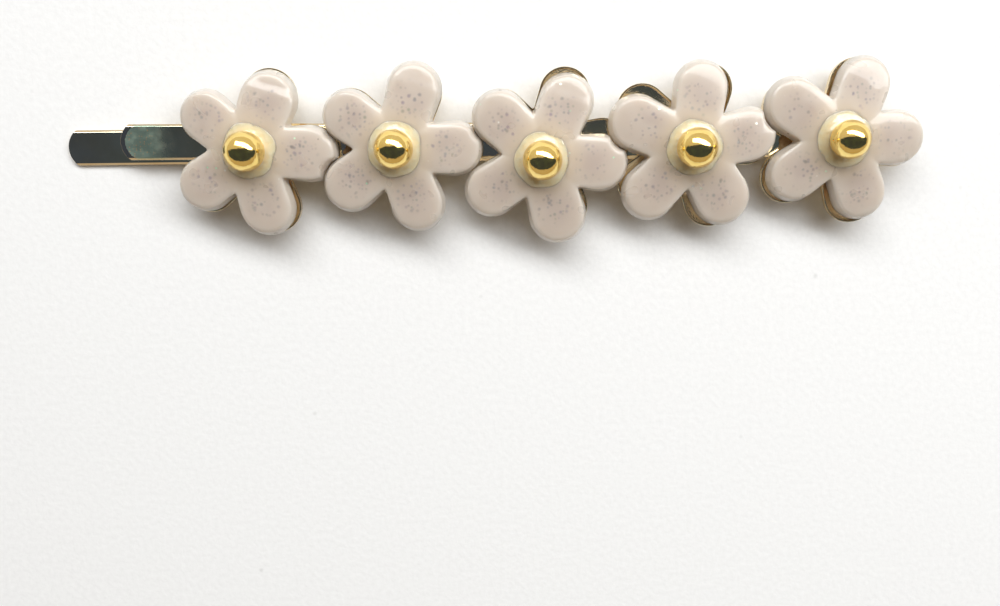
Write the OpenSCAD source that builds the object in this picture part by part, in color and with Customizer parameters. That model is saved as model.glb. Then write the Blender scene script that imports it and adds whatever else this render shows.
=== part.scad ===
// Hair clip: a sprung flat strip, folded back on itself, with a row of five resin flowers.
// Millimetres. +X runs along the pin towards its fold, +Z is up through the flowers.
// The origin lies on the underside of the lower leg, below the middle flower.

/* [Pin] */
// Width of the flat strip
strip_w = 3.7; // [3:0.1:6]
// Thickness of the flat strip
strip_t = 0.6; // [0.4:0.05:1]
// Width of the bevel along each long edge, seen from above
bevel_w = 0.25; // [0.1:0.05:0.4]
// Height of that bevel
bevel_h = 0.18; // [0.05:0.01:0.19]
// Space between the two legs, where the hair goes
leg_gap = 0.9; // [0.6:0.1:2]
// How much the radius of the rounded leg ends exceeds half the strip's width
end_extra_r = 0.5; // [0.1:0.05:1]
// Reach of the lower leg past the first flower's centre
lower_reach = 20.2; // [16:0.1:30]
// Reach of the upper leg past the first flower's centre
upper_reach = 13.9; // [10:0.1:15]
// Reach of the straight legs past the last flower's centre, to the start of the fold
fold_reach = 2.8; // [2:0.1:6]
// Sideways angle between the two legs, in degrees
leg_skew = 0.4; // [0:0.1:1]
// Radius of the turned-up tip of the upper leg, on its top face
turn_r = 8; // [5:0.5:15]
// Angle through which that tip turns up, in degrees
turn_deg = 14; // [5:1:25]

/* [Flower cups] */
// Distance from a cup's centre to the centre of each petal's round end
cup_petal_reach = 6.0; // [4.5:0.1:8]
// Radius of each petal's round end on a cup
cup_petal_r = 2.6; // [2.1:0.1:3.2]
// Thickness of the cup's floor
cup_floor_t = 0.3; // [0.2:0.05:0.6]
// Height of the cup's rim above its floor
cup_rim_h = 0.6; // [0.3:0.1:1.2]
// Thickness of the cup's rim
cup_rim_t = 0.22; // [0.15:0.01:0.4]
// Half width of a petal's neck at the flower's centre
neck_half_w = 2.1; // [1.2:0.1:2.4]
// Clearance between petals of two cups that nest together
nest_gap = 0.27; // [0.2:0.01:1]

/* [Resin flowers] */
// How much further out the resin petals' round ends are centred than the cup's
resin_extra_reach = 0.05; // [0:0.05:0.2]
// How much smaller the resin petals' end radius is than the cup's
resin_less_r = 0.1; // [0.1:0.05:0.5]
// Height of a resin petal's side wall
petal_edge_h = 0.5; // [0.3:0.1:1]
// Height of a resin petal's domed crown
petal_crown_h = 1.6; // [1.2:0.1:2]
// Height of the hub above the petals' crowns
hub_rise = 0.4; // [0.2:0.1:0.8]
// Width of the hub's top outside the bead
hub_collar_w = 0.9; // [0.7:0.1:1.4]
// How far the hub's foot spreads past its top
hub_spread = 0.6; // [0.3:0.1:1]
// Height from the hub's foot up to the petals' crowns
hub_step_h = 0.2; // [0.1:0.05:0.4]

/* [Beads and joins] */
// Diameter of the gold beads
bead_d = 4.0; // [3.4:0.1:4.8]
// How deep a bead sits below the hub's top
bead_sink = 0.45; // [0.3:0.05:0.8]
// Thickness of the glue film round a bead
bead_film = 0.03; // [0.02:0.01:0.1]
// Radius of the rounded glue ring round a bead
ring_r = 0.55; // [0.4:0.05:0.7]
// Thickness of the solder between leg and cup
solder_t = 0.15; // [0.1:0.05:0.4]
// How much nearer to the centre the glue bed's arms end than the cup's petals
bed_short = 2.0; // [1:0.1:3]

/* [Hidden] */
$fn = 64;

// Each flower was set by hand, so it stands a little off its regular place.
// Each entry is a shift along X, a shift along Y, and how far its turn carries its petal ends sideways.
cup_set = [[0.25, -0.85, 0], [0.15, -0.85, 0], [0.2, -1.1, 0], [0.3, -0.8, 0.1], [0.3, -0.45, 0]];
resin_set = [[0.2, -1.0, -0.26], [0.1, -0.8, 0.05], [0, -1.8, -0.42], [0.3, -0.8, 1.1], [0.4, -0.1, 0.21]];

PETALS = 5;
PETAL_TURN = 360 / PETALS;
FLOWERS = 5;
MIDDLE = 2;
SLACK = 1;
CROWN_STEP = 22.5;
JOIN = 0.02;

resin_petal_reach = cup_petal_reach + resin_extra_reach;
resin_petal_r = cup_petal_r - resin_less_r;
bead_r = bead_d / 2;
hub_h = petal_crown_h + hub_rise;
hub_top_r = bead_r + hub_collar_w;
cup_inner_neck = neck_half_w - cup_rim_t;
end_r = strip_w / 2 + end_extra_r;

// A petal of one flower points into the notch between two petals of the next.
nest_dx = sqrt(pow(2 * cup_petal_r + nest_gap, 2) - pow(cup_petal_reach * sin(PETAL_TURN / 2), 2));
pitch = cup_petal_reach * (1 + cos(PETAL_TURN / 2)) + nest_dx;

first_x = -MIDDLE * pitch;
fold_x = (FLOWERS - 1 - MIDDLE) * pitch + fold_reach;
lower_tip_x = first_x - lower_reach;
upper_tip_x = first_x - upper_reach;

upper_z = strip_t + leg_gap;
leg_top_z = upper_z + strip_t;
cup_z = leg_top_z + solder_t;
resin_z = cup_z + cup_floor_t + cup_rim_h;
bead_z = resin_z + hub_h - bead_sink + bead_r;
solder_r = strip_w / 2 - bevel_w;

// The strip's bevelled cross-section, from its inner face out, centred on its width.
module strip_section() {
    half = strip_w / 2;
    flat = half - bevel_w;
    polygon([
        [0, -flat], [bevel_h, -half], [strip_t - bevel_h, -half], [strip_t, -flat],
        [strip_t, flat], [strip_t - bevel_h, half], [bevel_h, half], [0, flat]
    ]);
}

// A straight length of strip with its underside on z = 0.
module strip_run(x_from, x_to) {
    translate([x_from, 0, 0])
        rotate([0, 90, 0])
            linear_extrude(height = x_to - x_from)
                rotate(180) strip_section();
}

// A bent length of strip about an axis along Y, from one angle to another.
// The angles run from +X up towards +Z.
module strip_bend(inner_r, deg_from, deg_to) {
    rotate([90, 0, 0])
        rotate([0, 0, deg_from])
            rotate_extrude(angle = deg_to - deg_from)
                translate([inner_r, 0]) strip_section();
}

// A bevelled disc that rounds a leg's end and carries the bevel round it.
module end_disc() {
    rotate_extrude()
        polygon([
            [0, 0], [end_r - bevel_w, 0], [end_r, bevel_h],
            [end_r, strip_t - bevel_h], [end_r - bevel_w, strip_t], [0, strip_t]
        ]);
}

module upper_leg() {
    turn_len = turn_r * sin(turn_deg);
    color("gold")
        intersection() {
            translate([0, 0, upper_z])
                union() {
                    strip_run(upper_tip_x + turn_len - JOIN, fold_x);
                    translate([upper_tip_x + turn_len, 0, strip_t + turn_r])
                        strip_bend(turn_r, -90 - turn_deg, -90);
                }
            linear_extrude(height = leg_top_z + strip_w)
                union() {
                    translate([upper_tip_x + end_r, 0]) circle(end_r);
                    translate([upper_tip_x + end_r, -strip_w])
                        square([fold_x - upper_tip_x - end_r, 2 * strip_w]);
                }
        }
}

module fold() {
    color("gold")
        translate([fold_x, 0, strip_t + leg_gap / 2])
            strip_bend(leg_gap / 2, -90, 90);
}

// The lower leg leaves the fold square on, at a small sideways angle.
module lower_leg() {
    color("goldenrod")
        difference() {
            translate([fold_x, 0, 0])
                rotate([0, 0, leg_skew])
                    translate([-fold_x, 0, 0])
                        union() {
                            strip_run(lower_tip_x + end_r, fold_x + SLACK);
                            intersection() {
                                strip_run(lower_tip_x, lower_tip_x + end_r);
                                translate([lower_tip_x + end_r, 0, 0]) end_disc();
                            }
                        }
            translate([fold_x, -strip_w, -SLACK])
                cube([2 * SLACK, 2 * strip_w, strip_t + 2 * SLACK]);
        }
}

// Place the children at a flower's hand-set place and height.
module set_flower(setting, number, z) {
    s = setting[number - 1];
    translate([(number - 1 - MIDDLE) * pitch + s[0], s[1], z])
        rotate([0, 0, asin(s[2] / cup_petal_reach)])
            children();
}

// One petal seen from above, pointing along +X.
module petal_outline(reach, end_radius, neck) {
    translate([reach, 0]) circle(end_radius);
    polygon([[0, -neck], [reach, -end_radius], [reach, end_radius], [0, neck]]);
}

// A five-petalled outline with one petal along +X.
module flower_outline(reach, end_radius, neck) {
    for (i = [0 : PETALS - 1])
        rotate(i * PETAL_TURN) petal_outline(reach, end_radius, neck);
}

module solder_pad(number) {
    color("silver")
        translate([(number - 1 - MIDDLE) * pitch + cup_set[number - 1][0], 0, leg_top_z])
            cylinder(h = solder_t, r = solder_r);
}

// A stamped five-petalled tray with a thin standing rim.
module flower_cup(number) {
    color("khaki")
        set_flower(cup_set, number, cup_z)
            difference() {
                linear_extrude(height = cup_floor_t + cup_rim_h)
                    flower_outline(cup_petal_reach, cup_petal_r, neck_half_w);
                translate([0, 0, cup_floor_t])
                    linear_extrude(height = cup_rim_h + SLACK)
                        flower_outline(cup_petal_reach, cup_petal_r - cup_rim_t, cup_inner_neck);
            }
}

// The adhesive in the tray that holds the resin flower.
module glue_bed(number) {
    color("wheat")
        set_flower(cup_set, number, cup_z + cup_floor_t)
            linear_extrude(height = cup_rim_h)
                flower_outline(cup_petal_reach - bed_short, cup_inner_neck, cup_inner_neck);
}

// The rounded top that all five petals of a resin flower share, turned about its centre.
module petal_crown() {
    tip_r = resin_petal_reach + resin_petal_r;
    drop = petal_crown_h - petal_edge_h;
    rotate_extrude()
        polygon(concat(
            [[0, -SLACK], [0, petal_crown_h]],
            [for (a = [0 : CROWN_STEP : 90])
                [resin_petal_reach + resin_petal_r * sin(a), petal_crown_h - drop * (1 - cos(a))]],
            [[tip_r + SLACK, petal_edge_h], [tip_r + SLACK, -SLACK]]
        ));
}

module resin_flower(number) {
    color("linen")
        set_flower(resin_set, number, resin_z)
            difference() {
                union() {
                    intersection() {
                        linear_extrude(height = hub_h)
                            flower_outline(resin_petal_reach, resin_petal_r, neck_half_w);
                        petal_crown();
                    }
                    cylinder(h = petal_crown_h - hub_step_h, r = hub_top_r + hub_spread);
                    cylinder(h = hub_h, r = hub_top_r);
                }
                translate([0, 0, bead_z - resin_z]) sphere(bead_r + bead_film);
            }
}

// The rounded ring of clear glue that grips the bead on its hub.
module bead_glue(number) {
    color("mistyrose")
        set_flower(resin_set, number, resin_z + hub_h)
            difference() {
                rotate_extrude()
                    union() {
                        square([hub_top_r - ring_r, ring_r]);
                        intersection() {
                            translate([hub_top_r - ring_r, 0]) circle(ring_r);
                            square([hub_top_r, ring_r]);
                        }
                    }
                translate([0, 0, bead_r - bead_sink]) sphere(bead_r + bead_film);
            }
}

module bead(number) {
    color("gold")
        set_flower(resin_set, number, bead_z)
            sphere(bead_r);
}

upper_leg();
fold();
lower_leg();
solder_pad(1);  // solder_pad_1
solder_pad(2);  // solder_pad_2
solder_pad(3);  // solder_pad_3
solder_pad(4);  // solder_pad_4
solder_pad(5);  // solder_pad_5
flower_cup(1);  // flower_cup_1
flower_cup(2);  // flower_cup_2
flower_cup(3);  // flower_cup_3
flower_cup(4);  // flower_cup_4
flower_cup(5);  // flower_cup_5
glue_bed(1);  // glue_bed_1
glue_bed(2);  // glue_bed_2
glue_bed(3);  // glue_bed_3
glue_bed(4);  // glue_bed_4
glue_bed(5);  // glue_bed_5
resin_flower(1);  // resin_flower_1
resin_flower(2);  // resin_flower_2
resin_flower(3);  // resin_flower_3
resin_flower(4);  // resin_flower_4
resin_flower(5);  // resin_flower_5
bead_glue(1);  // bead_glue_1
bead_glue(2);  // bead_glue_2
bead_glue(3);  // bead_glue_3
bead_glue(4);  // bead_glue_4
bead_glue(5);  // bead_glue_5
bead(1);  // bead_1
bead(2);  // bead_2
bead(3);  // bead_3
bead(4);  // bead_4
bead(5);  // bead_5
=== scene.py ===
"""Visual model of a flower hair clip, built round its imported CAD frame.

The clip is a sprung strip of pale gold plate, folded back on itself. Five stamped gold cups are
soldered along its upper leg, and each holds a milky resin flower with a gold bead at its centre.
Lengths inside the classes are millimetres in the row frame; meshes are made in metres.
"""

import logging
import math
from dataclasses import dataclass, field
from enum import Enum
from typing import Callable, ClassVar, Sequence

import bmesh
import bpy
import numpy as np
from mathutils import Matrix, Vector, noise


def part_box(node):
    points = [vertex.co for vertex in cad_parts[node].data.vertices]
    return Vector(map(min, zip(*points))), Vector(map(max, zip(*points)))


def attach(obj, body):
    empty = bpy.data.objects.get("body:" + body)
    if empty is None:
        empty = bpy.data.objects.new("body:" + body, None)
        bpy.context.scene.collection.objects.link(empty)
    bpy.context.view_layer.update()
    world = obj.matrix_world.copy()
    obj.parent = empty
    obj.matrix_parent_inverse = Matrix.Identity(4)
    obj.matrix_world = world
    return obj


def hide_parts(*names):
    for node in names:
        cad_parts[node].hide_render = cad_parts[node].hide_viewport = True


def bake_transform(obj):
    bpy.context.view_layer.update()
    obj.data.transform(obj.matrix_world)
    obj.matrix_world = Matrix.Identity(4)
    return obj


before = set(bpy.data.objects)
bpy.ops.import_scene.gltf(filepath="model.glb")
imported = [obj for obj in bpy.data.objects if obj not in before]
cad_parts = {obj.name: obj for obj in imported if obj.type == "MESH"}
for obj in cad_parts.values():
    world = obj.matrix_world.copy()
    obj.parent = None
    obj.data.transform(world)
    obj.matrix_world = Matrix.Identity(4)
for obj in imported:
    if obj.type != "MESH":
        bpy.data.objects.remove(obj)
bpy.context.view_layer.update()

Socket = bpy.types.NodeSocket
Colour = tuple[float, float, float]

MM = 0.001
FLOWERS = 5
PETALS = 5
SECTOR = 2 * math.pi / PETALS
ROW = "flower_row"
LEG = "opening_leg"

# Points of a mesh nearer than this, in millimetres, become one.
MERGE_MM = 1e-3

# The Mix node's colour sockets: its two inputs and its output.
MIX_FIRST, MIX_SECOND, MIX_RESULT = 6, 7, 2

# How sharp scattered dots are: the solid share of a dot's radius, and of the pick among cells.
DOT_SOLID, PICK_SOLID = 0.3, 0.98

log = logging.getLogger("hair_clip")


class Slot(Enum):
    """The record's material slots."""

    STRIP = "strip_gold"
    CUP = "cup_gold"
    SOLDER = "solder"
    ADHESIVE = "adhesive"
    RESIN = "glitter_resin"
    GLUE = "clear_glue"
    BEAD = "bead_gold"


# ---------------------------------------------------------------------------------------------
# Finishes
# ---------------------------------------------------------------------------------------------


class Bench:
    """A material's node tree with short calls for the nodes that the finishes use."""

    def __init__(self, name: str) -> None:
        """Start an empty node material.

        Args:
            name: The material's name.
        """
        self.material = bpy.data.materials.new(name)
        self.material.use_nodes = True
        self.tree = self.material.node_tree
        self.tree.nodes.clear()
        self.shader = self.tree.nodes.new("ShaderNodeBsdfPrincipled")
        out = self.tree.nodes.new("ShaderNodeOutputMaterial")
        self.tree.links.new(self.shader.outputs["BSDF"], out.inputs["Surface"])
        self.place = self.tree.nodes.new("ShaderNodeTexCoord").outputs["Object"]

    def node(self, kind: str, **inputs: object) -> bpy.types.Node:
        """Add a node.

        Args:
            kind: The node type without its ShaderNode prefix.
            **inputs: Values or sockets by input name, with _ for a space.

        Returns:
            The new node.
        """
        made = self.tree.nodes.new("ShaderNode" + kind)
        for key, value in inputs.items():
            self.feed(made.inputs[key.replace("_", " ")], value)
        return made

    def feed(self, socket: Socket, value: object) -> None:
        """Set a socket to a value, or link another socket to it."""
        if isinstance(value, Socket):
            self.tree.links.new(value, socket)
        else:
            socket.default_value = value

    def set(self, **values: object) -> None:
        """Set or link inputs of the main shader by name, with _ for a space."""
        for key, value in values.items():
            self.feed(self.shader.inputs[key.replace("_", " ")], value)

    def share(self, name: str) -> Socket:
        """Return the value that write_share stored at each vertex under a name."""
        made = self.node("Attribute")
        made.attribute_name = name
        return made.outputs["Fac"]

    def steps(self, size_mm: float, shift: float) -> Socket:
        """Return the object's coordinates counted in steps of a size, and shifted."""
        scale = 1.0 / (size_mm * MM)
        made = self.node("Mapping", Vector=self.place, Scale=(scale,) * 3, Location=(shift,) * 3)
        return made.outputs["Vector"]

    def clouds(self, size_mm: float, detail: float = 2.0, shift: float = 0.0) -> Socket:
        """Return a soft noise from 0 to 1.

        Args:
            size_mm: The size of one cloud.
            detail: Octaves of finer noise.
            shift: Moves the pattern, so that two noises differ.

        Returns:
            The noise's factor socket.
        """
        made = self.node("TexNoise", Vector=self.steps(size_mm, shift), Scale=1.0, Detail=detail)
        return made.outputs["Fac"]

    def ramp(self, factor: Socket, stops: Sequence[tuple[float, Colour]]) -> Socket:
        """Return a colour ramp's colour.

        Args:
            factor: The socket that drives the ramp.
            stops: Pairs of place and RGB colour, in order.

        Returns:
            The colour socket.
        """
        made = self.node("ValToRGB", Fac=factor)
        band = made.color_ramp
        while len(band.elements) < len(stops):
            band.elements.new(0.5)
        for element, (place, colour) in zip(band.elements, stops):
            element.position = place
            element.color = (*colour, 1.0)
        return made.outputs["Color"]

    def span(self, factor: Socket, low: float, high: float,
             out_low: float = 0.0, out_high: float = 1.0) -> Socket:
        """Return a value mapped from one range to another and clamped.

        Args:
            factor: The socket to map.
            low: Input that gives out_low.
            high: Input that gives out_high.
            out_low: First output value.
            out_high: Last output value.

        Returns:
            The mapped socket.
        """
        made = self.node("MapRange", Value=factor, From_Min=low, From_Max=high,
                         To_Min=out_low, To_Max=out_high)
        return made.outputs["Result"]

    def blend(self, factor: object, first: object, second: object) -> Socket:
        """Return a mix of two colours, each a colour or a socket."""
        made = self.tree.nodes.new("ShaderNodeMix")
        made.data_type = "RGBA"
        self.feed(made.inputs[0], factor)
        for index, value in ((MIX_FIRST, first), (MIX_SECOND, second)):
            plain = not isinstance(value, Socket)
            self.feed(made.inputs[index], (*value, 1.0) if plain else value)
        return made.outputs[MIX_RESULT]

    def combine(self, operation: str, first: object, second: object) -> Socket:
        """Return the result of a Math node's operation on two values or sockets."""
        made = self.node("Math")
        made.operation = operation
        self.feed(made.inputs[0], first)
        self.feed(made.inputs[1], second)
        return made.outputs[0]

    def times(self, first: object, second: object) -> Socket:
        """Return the product of two values or sockets."""
        return self.combine("MULTIPLY", first, second)

    def plus(self, first: object, second: object) -> Socket:
        """Return the sum of two values or sockets."""
        return self.combine("ADD", first, second)

    def dots(self, cell_mm: float, radius: float, share: float,
             shift: float = 0.0) -> tuple[Socket, Socket]:
        """Return scattered round dots.

        Args:
            cell_mm: Average distance between places where a dot may be.
            radius: Dot radius as a share of that distance.
            share: The share of places that hold a dot.
            shift: Moves the pattern.

        Returns:
            The mask socket, and a random colour per dot.
        """
        cells = self.node("TexVoronoi", Vector=self.steps(cell_mm, shift), Scale=1.0)
        disc = self.span(cells.outputs["Distance"], radius, radius * DOT_SOLID)
        pick = self.node("SeparateColor", Color=cells.outputs["Color"])
        chosen = self.span(pick.outputs["Red"], share, share * PICK_SOLID)
        return self.times(disc, chosen), cells.outputs["Color"]

    def bump(self, height: Socket, depth_mm: float) -> None:
        """Bend the shader's normal by a height.

        Args:
            height: A socket from 0 to 1.
            depth_mm: The depth that 1 stands for.
        """
        made = self.node("Bump", Height=height, Distance=depth_mm * MM, Strength=1.0)
        self.set(Normal=made.outputs["Normal"])


@dataclass(frozen=True)
class PlatedStrip:
    """Pale gold plate over polished spring steel, with faint rolling marks and dulled patches."""

    tone: Colour = (0.90, 0.80, 0.61)
    worn: Colour = (0.80, 0.66, 0.44)
    film: Colour = (0.42, 0.56, 0.46)
    pale_film: Colour = (0.47, 0.57, 0.44)
    grit: Colour = (0.95, 0.66, 0.36)
    shine: float = 0.07
    dull: float = 0.17
    film_dulling: float = 0.26

    def make(self) -> bpy.types.Material:
        """Return the material."""
        bench = Bench(Slot.STRIP.value)
        plate = bench.ramp(bench.clouds(3.5, 3.0), [(0.35, self.tone), (0.75, self.worn)])
        film = bench.ramp(bench.clouds(0.18, 3.0, 21.0),
                          [(0.35, self.film), (0.65, self.pale_film)])
        rubbed = bench.share("worn_tip")
        grains, _ = bench.dots(0.22, 0.42, 0.35, 31.0)
        film = bench.blend(bench.times(grains, bench.span(rubbed, 0.9, 1.0)), film, self.grit)
        bench.set(Base_Color=bench.blend(rubbed, plate, film), Metallic=1.0)
        sheen = bench.span(bench.clouds(0.8, 3.0, 5.0), 0.45, 0.8, self.shine, self.dull)
        bench.set(Roughness=bench.plus(sheen, bench.times(rubbed, self.film_dulling)))
        bench.bump(bench.clouds(1.6, 2.0, 9.0), 0.012)
        return bench.material


@dataclass(frozen=True)
class CupGold:
    """Stamped gold cup, bright on its rim and walls, with grainy brown residue on its floor."""

    tone: Colour = (0.93, 0.77, 0.50)
    residue: Colour = (0.46, 0.27, 0.13)
    shine: float = 0.12
    residue_dull: float = 0.42

    def make(self) -> bpy.types.Material:
        """Return the material."""
        bench = Bench(Slot.CUP.value)
        grain = bench.clouds(0.22, 4.0)
        stuck = bench.span(bench.times(grain, bench.clouds(1.3, 2.0, 3.0)), 0.40, 0.52)
        mask = bench.times(bench.share("floor_share"), stuck)
        bench.set(Base_Color=bench.blend(mask, self.tone, self.residue), Metallic=1.0)
        bench.set(Roughness=bench.span(mask, 0.0, 1.0, self.shine, self.residue_dull))
        bench.bump(grain, 0.03)
        return bench.material


@dataclass(frozen=True)
class SolderMetal:
    """Dull, slightly rippled solder."""

    tone: Colour = (0.58, 0.54, 0.47)
    dark: Colour = (0.36, 0.32, 0.27)

    def make(self) -> bpy.types.Material:
        """Return the material."""
        bench = Bench(Slot.SOLDER.value)
        ripples = bench.clouds(0.4, 3.0)
        bench.set(Base_Color=bench.ramp(ripples, [(0.3, self.tone), (0.8, self.dark)]))
        bench.set(Metallic=1.0)
        bench.set(Roughness=bench.span(ripples, 0.2, 0.9, 0.28, 0.5))
        bench.bump(ripples, 0.03)
        return bench.material


@dataclass(frozen=True)
class AmberAdhesive:
    """Clear yellowish adhesive with fine grit in it."""

    tone: Colour = (0.80, 0.55, 0.28)
    deep: Colour = (0.55, 0.31, 0.12)

    def make(self) -> bpy.types.Material:
        """Return the material."""
        bench = Bench(Slot.ADHESIVE.value)
        cloudy = bench.clouds(0.5, 4.0)
        bench.set(Base_Color=bench.ramp(cloudy, [(0.3, self.deep), (0.7, self.tone)]))
        bench.set(Roughness=0.18, Transmission_Weight=0.35, IOR=1.48)
        bench.bump(cloudy, 0.05)
        return bench.material


@dataclass(frozen=True)
class Specks:
    """One size of speck in the resin.

    Attributes:
        cell_mm: Average distance between places for a speck.
        radius: A speck's radius as a share of that distance.
        shift: Moves the pattern.
        strength: How far the speck covers the resin.
        share: The share of places that hold a speck.
    """

    cell_mm: float
    radius: float
    shift: float
    strength: float
    share: float = 0.45


@dataclass(frozen=True)
class GlitterResin:
    """Milky cast resin: glossy, slightly see-through, with grey specks, a few bright flakes,
    painted light at its thin edges and a painted warm glow round the hub.
    """

    milk: Colour = (0.745, 0.65, 0.56)
    # Painted light: the petal edges are made lighter where light shines through the thin resin.
    rim: Colour = (0.84, 0.76, 0.67)
    thin: Colour = (0.72, 0.62, 0.53)
    heart: Colour = (0.655, 0.55, 0.48)
    speck: Colour = (0.36, 0.29, 0.275)
    # Painted light: the warm glow that the gold throws into the resin round the hub.
    gold_glow: Colour = (0.80, 0.65, 0.46)
    green_glint: Colour = (0.70, 1.0, 0.72)
    warm_glint: Colour = (1.0, 0.97, 0.90)
    sizes: tuple[Specks, ...] = (Specks(0.42, 0.46, 0.0, 0.6), Specks(0.62, 0.40, 4.0, 0.75))
    tint: float = 0.1
    depth_mm: float = 1.5

    def make(self) -> bpy.types.Material:
        """Return the material."""
        bench = Bench(Slot.RESIN.value)
        core = bench.share("petal_core")
        body = bench.blend(bench.span(core, 0.15, 0.95), self.thin, self.heart)
        swirl = bench.span(bench.clouds(2.2, 1.0), 0.38, 0.68)
        body = bench.blend(bench.times(swirl, 0.7), body, self.milk)
        # Painted light: lighter colour towards the edges, where light shines through the thin
        # resin.
        body = bench.blend(bench.times(bench.share("petal_edge_glow"), 0.85), body, self.rim)
        # Painted light: a warm glow from the gold round the hub.
        body = bench.blend(bench.times(bench.share("hub_glow"), 0.75), body, self.gold_glow)
        near_core = bench.span(core, 0.25, 0.7)
        for size in self.sizes:
            mask, hue = bench.dots(size.cell_mm, size.radius, size.share, size.shift)
            cover = bench.times(bench.times(mask, near_core), size.strength)
            body = bench.blend(cover, body, bench.blend(self.tint, self.speck, hue))
        flake, hue = bench.dots(0.9, 0.17, 0.10, 11.0)
        glint = bench.ramp(hue, [(0.3, self.green_glint), (0.6, self.warm_glint)])
        bench.set(Base_Color=bench.blend(flake, body, glint))
        bench.set(Metallic=bench.times(flake, 0.7))
        bench.set(Roughness=bench.span(bench.clouds(2.0, 1.0, 7.0), 0.3, 0.8, 0.27, 0.37))
        bench.set(Subsurface_Weight=1.0, Subsurface_Scale=self.depth_mm * MM,
                  Subsurface_Radius=(1.0, 1.0, 1.0))
        bench.set(Transmission_Weight=0.22, IOR=1.46, Specular_IOR_Level=0.4)
        bench.set(Coat_Weight=0.5, Coat_Roughness=0.04)
        bench.bump(bench.clouds(2.4, 1.0, 13.0), 0.015)
        return bench.material


@dataclass(frozen=True)
class ClearGlue:
    """Wet-looking clear glue, coloured warm orange as a painted reflection of the gold bead that it
    rings.
    """

    # Painted reflection: this warm orange stands in for the gold bead seen in the clear glue.
    tone: Colour = (0.98, 0.70, 0.42)
    pale: Colour = (0.97, 0.76, 0.54)
    depth_mm: float = 0.5

    def make(self) -> bpy.types.Material:
        """Return the material."""
        bench = Bench(Slot.GLUE.value)
        ripples = bench.clouds(0.7, 2.0)
        bench.set(Base_Color=bench.ramp(ripples, [(0.35, self.tone), (0.75, self.pale)]))
        bench.set(Roughness=0.14, Transmission_Weight=0.05, IOR=1.45)
        bench.set(Subsurface_Weight=1.0, Subsurface_Scale=self.depth_mm * MM,
                  Subsurface_Radius=(1.0, 1.0, 1.0))
        bench.set(Coat_Weight=0.6, Coat_Roughness=0.04)
        bench.bump(ripples, 0.05)
        return bench.material


@dataclass(frozen=True)
class BeadGold:
    """Bright yellow gold, polished, with a faint orange-peel surface."""

    tone: Colour = (0.97, 0.74, 0.27)
    deep: Colour = (0.93, 0.67, 0.20)

    def make(self) -> bpy.types.Material:
        """Return the material."""
        bench = Bench(Slot.BEAD.value)
        peel = bench.clouds(0.35, 2.0)
        patches = bench.clouds(1.2, 2.0, 2.0)
        bench.set(Base_Color=bench.ramp(patches, [(0.35, self.tone), (0.8, self.deep)]))
        bench.set(Metallic=1.0)
        bench.set(Roughness=bench.span(peel, 0.3, 0.8, 0.07, 0.14))
        bench.bump(peel, 0.012)
        return bench.material


# ---------------------------------------------------------------------------------------------
# Mesh tools
# ---------------------------------------------------------------------------------------------


class Drawing:
    """Collects vertices and faces in millimetres and turns them into a piece."""

    def __init__(self) -> None:
        """Start with an empty mesh."""
        self.verts: list[np.ndarray] = []
        self.faces: list[tuple[int, ...]] = []
        self.count = 0

    def grid(self, points: np.ndarray, close_rows: bool = False,
             close_columns: bool = False) -> None:
        """Add a grid of quads.

        Args:
            points: An array of rows by columns by 3.
            close_rows: Join the last row to the first.
            close_columns: Join the last column to the first.
        """
        rows, columns = points.shape[:2]
        base = self.count
        self.verts.append(points.reshape(-1, 3))
        self.count += rows * columns
        for i in range(rows if close_rows else rows - 1):
            for j in range(columns if close_columns else columns - 1):
                a, b = base + i * columns, base + (i + 1) % rows * columns
                k = (j + 1) % columns
                self.faces.append((a + j, a + k, b + k, b + j))

    def face(self, points: np.ndarray) -> None:
        """Add one flat face from its corners in order."""
        self.verts.append(np.asarray(points, float))
        self.faces.append(tuple(range(self.count, self.count + len(points))))
        self.count += len(points)

    def piece(self, name: str, material: bpy.types.Material,
              smooth_deg: float = 180.0) -> bpy.types.Object:
        """Make the object.

        Args:
            name: The piece's name.
            material: Its finish.
            smooth_deg: Edges sharper than this stay sharp.

        Returns:
            The new object, linked to the scene.
        """
        mesh = bpy.data.meshes.new(name)
        mesh.from_pydata([tuple(v * MM) for v in np.concatenate(self.verts)], [], self.faces)
        work = bmesh.new()
        work.from_mesh(mesh)
        bmesh.ops.remove_doubles(work, verts=work.verts, dist=MERGE_MM * MM)
        bmesh.ops.dissolve_degenerate(work, edges=work.edges, dist=MERGE_MM * MM * 0.1)
        bmesh.ops.recalc_face_normals(work, faces=work.faces)
        for face in work.faces:
            face.smooth = True
        limit = math.radians(smooth_deg)
        for edge in work.edges:
            edge.smooth = not edge.is_manifold or edge.calc_face_angle(0.0) < limit
        work.to_mesh(mesh)
        work.free()
        mesh.materials.append(material)
        made = bpy.data.objects.new(name, mesh)
        bpy.context.scene.collection.objects.link(made)
        return made


def write_share(piece: bpy.types.Object, name: str,
                share: Callable[[np.ndarray], np.ndarray]) -> None:
    """Store a value from 0 to 1 at each vertex.

    Args:
        piece: The mesh object.
        name: The attribute's name.
        share: Takes the vertices in millimetres and returns their values.
    """
    mesh = piece.data
    places = np.empty(len(mesh.vertices) * 3)
    mesh.vertices.foreach_get("co", places)
    values = np.clip(share(places.reshape(-1, 3) / MM), 0.0, 1.0).astype(np.float32)
    mesh.attributes.new(name, "FLOAT", "POINT").data.foreach_set("value", values)


def ripple(points: np.ndarray, size_mm: float, depth_mm: float, seed: float) -> np.ndarray:
    """Return a smooth random height for each point.

    Args:
        points: An array whose last axis is X, Y and Z in millimetres.
        size_mm: The width of one wave.
        depth_mm: The greatest height.
        seed: Moves the pattern, so that two pieces differ.

    Returns:
        Heights in millimetres, one for each point.
    """
    flat = points.reshape(-1, 3) / size_mm + seed
    heights = np.array([noise.noise(Vector(p)) for p in flat])
    return depth_mm * heights.reshape(points.shape[:-1])


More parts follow.
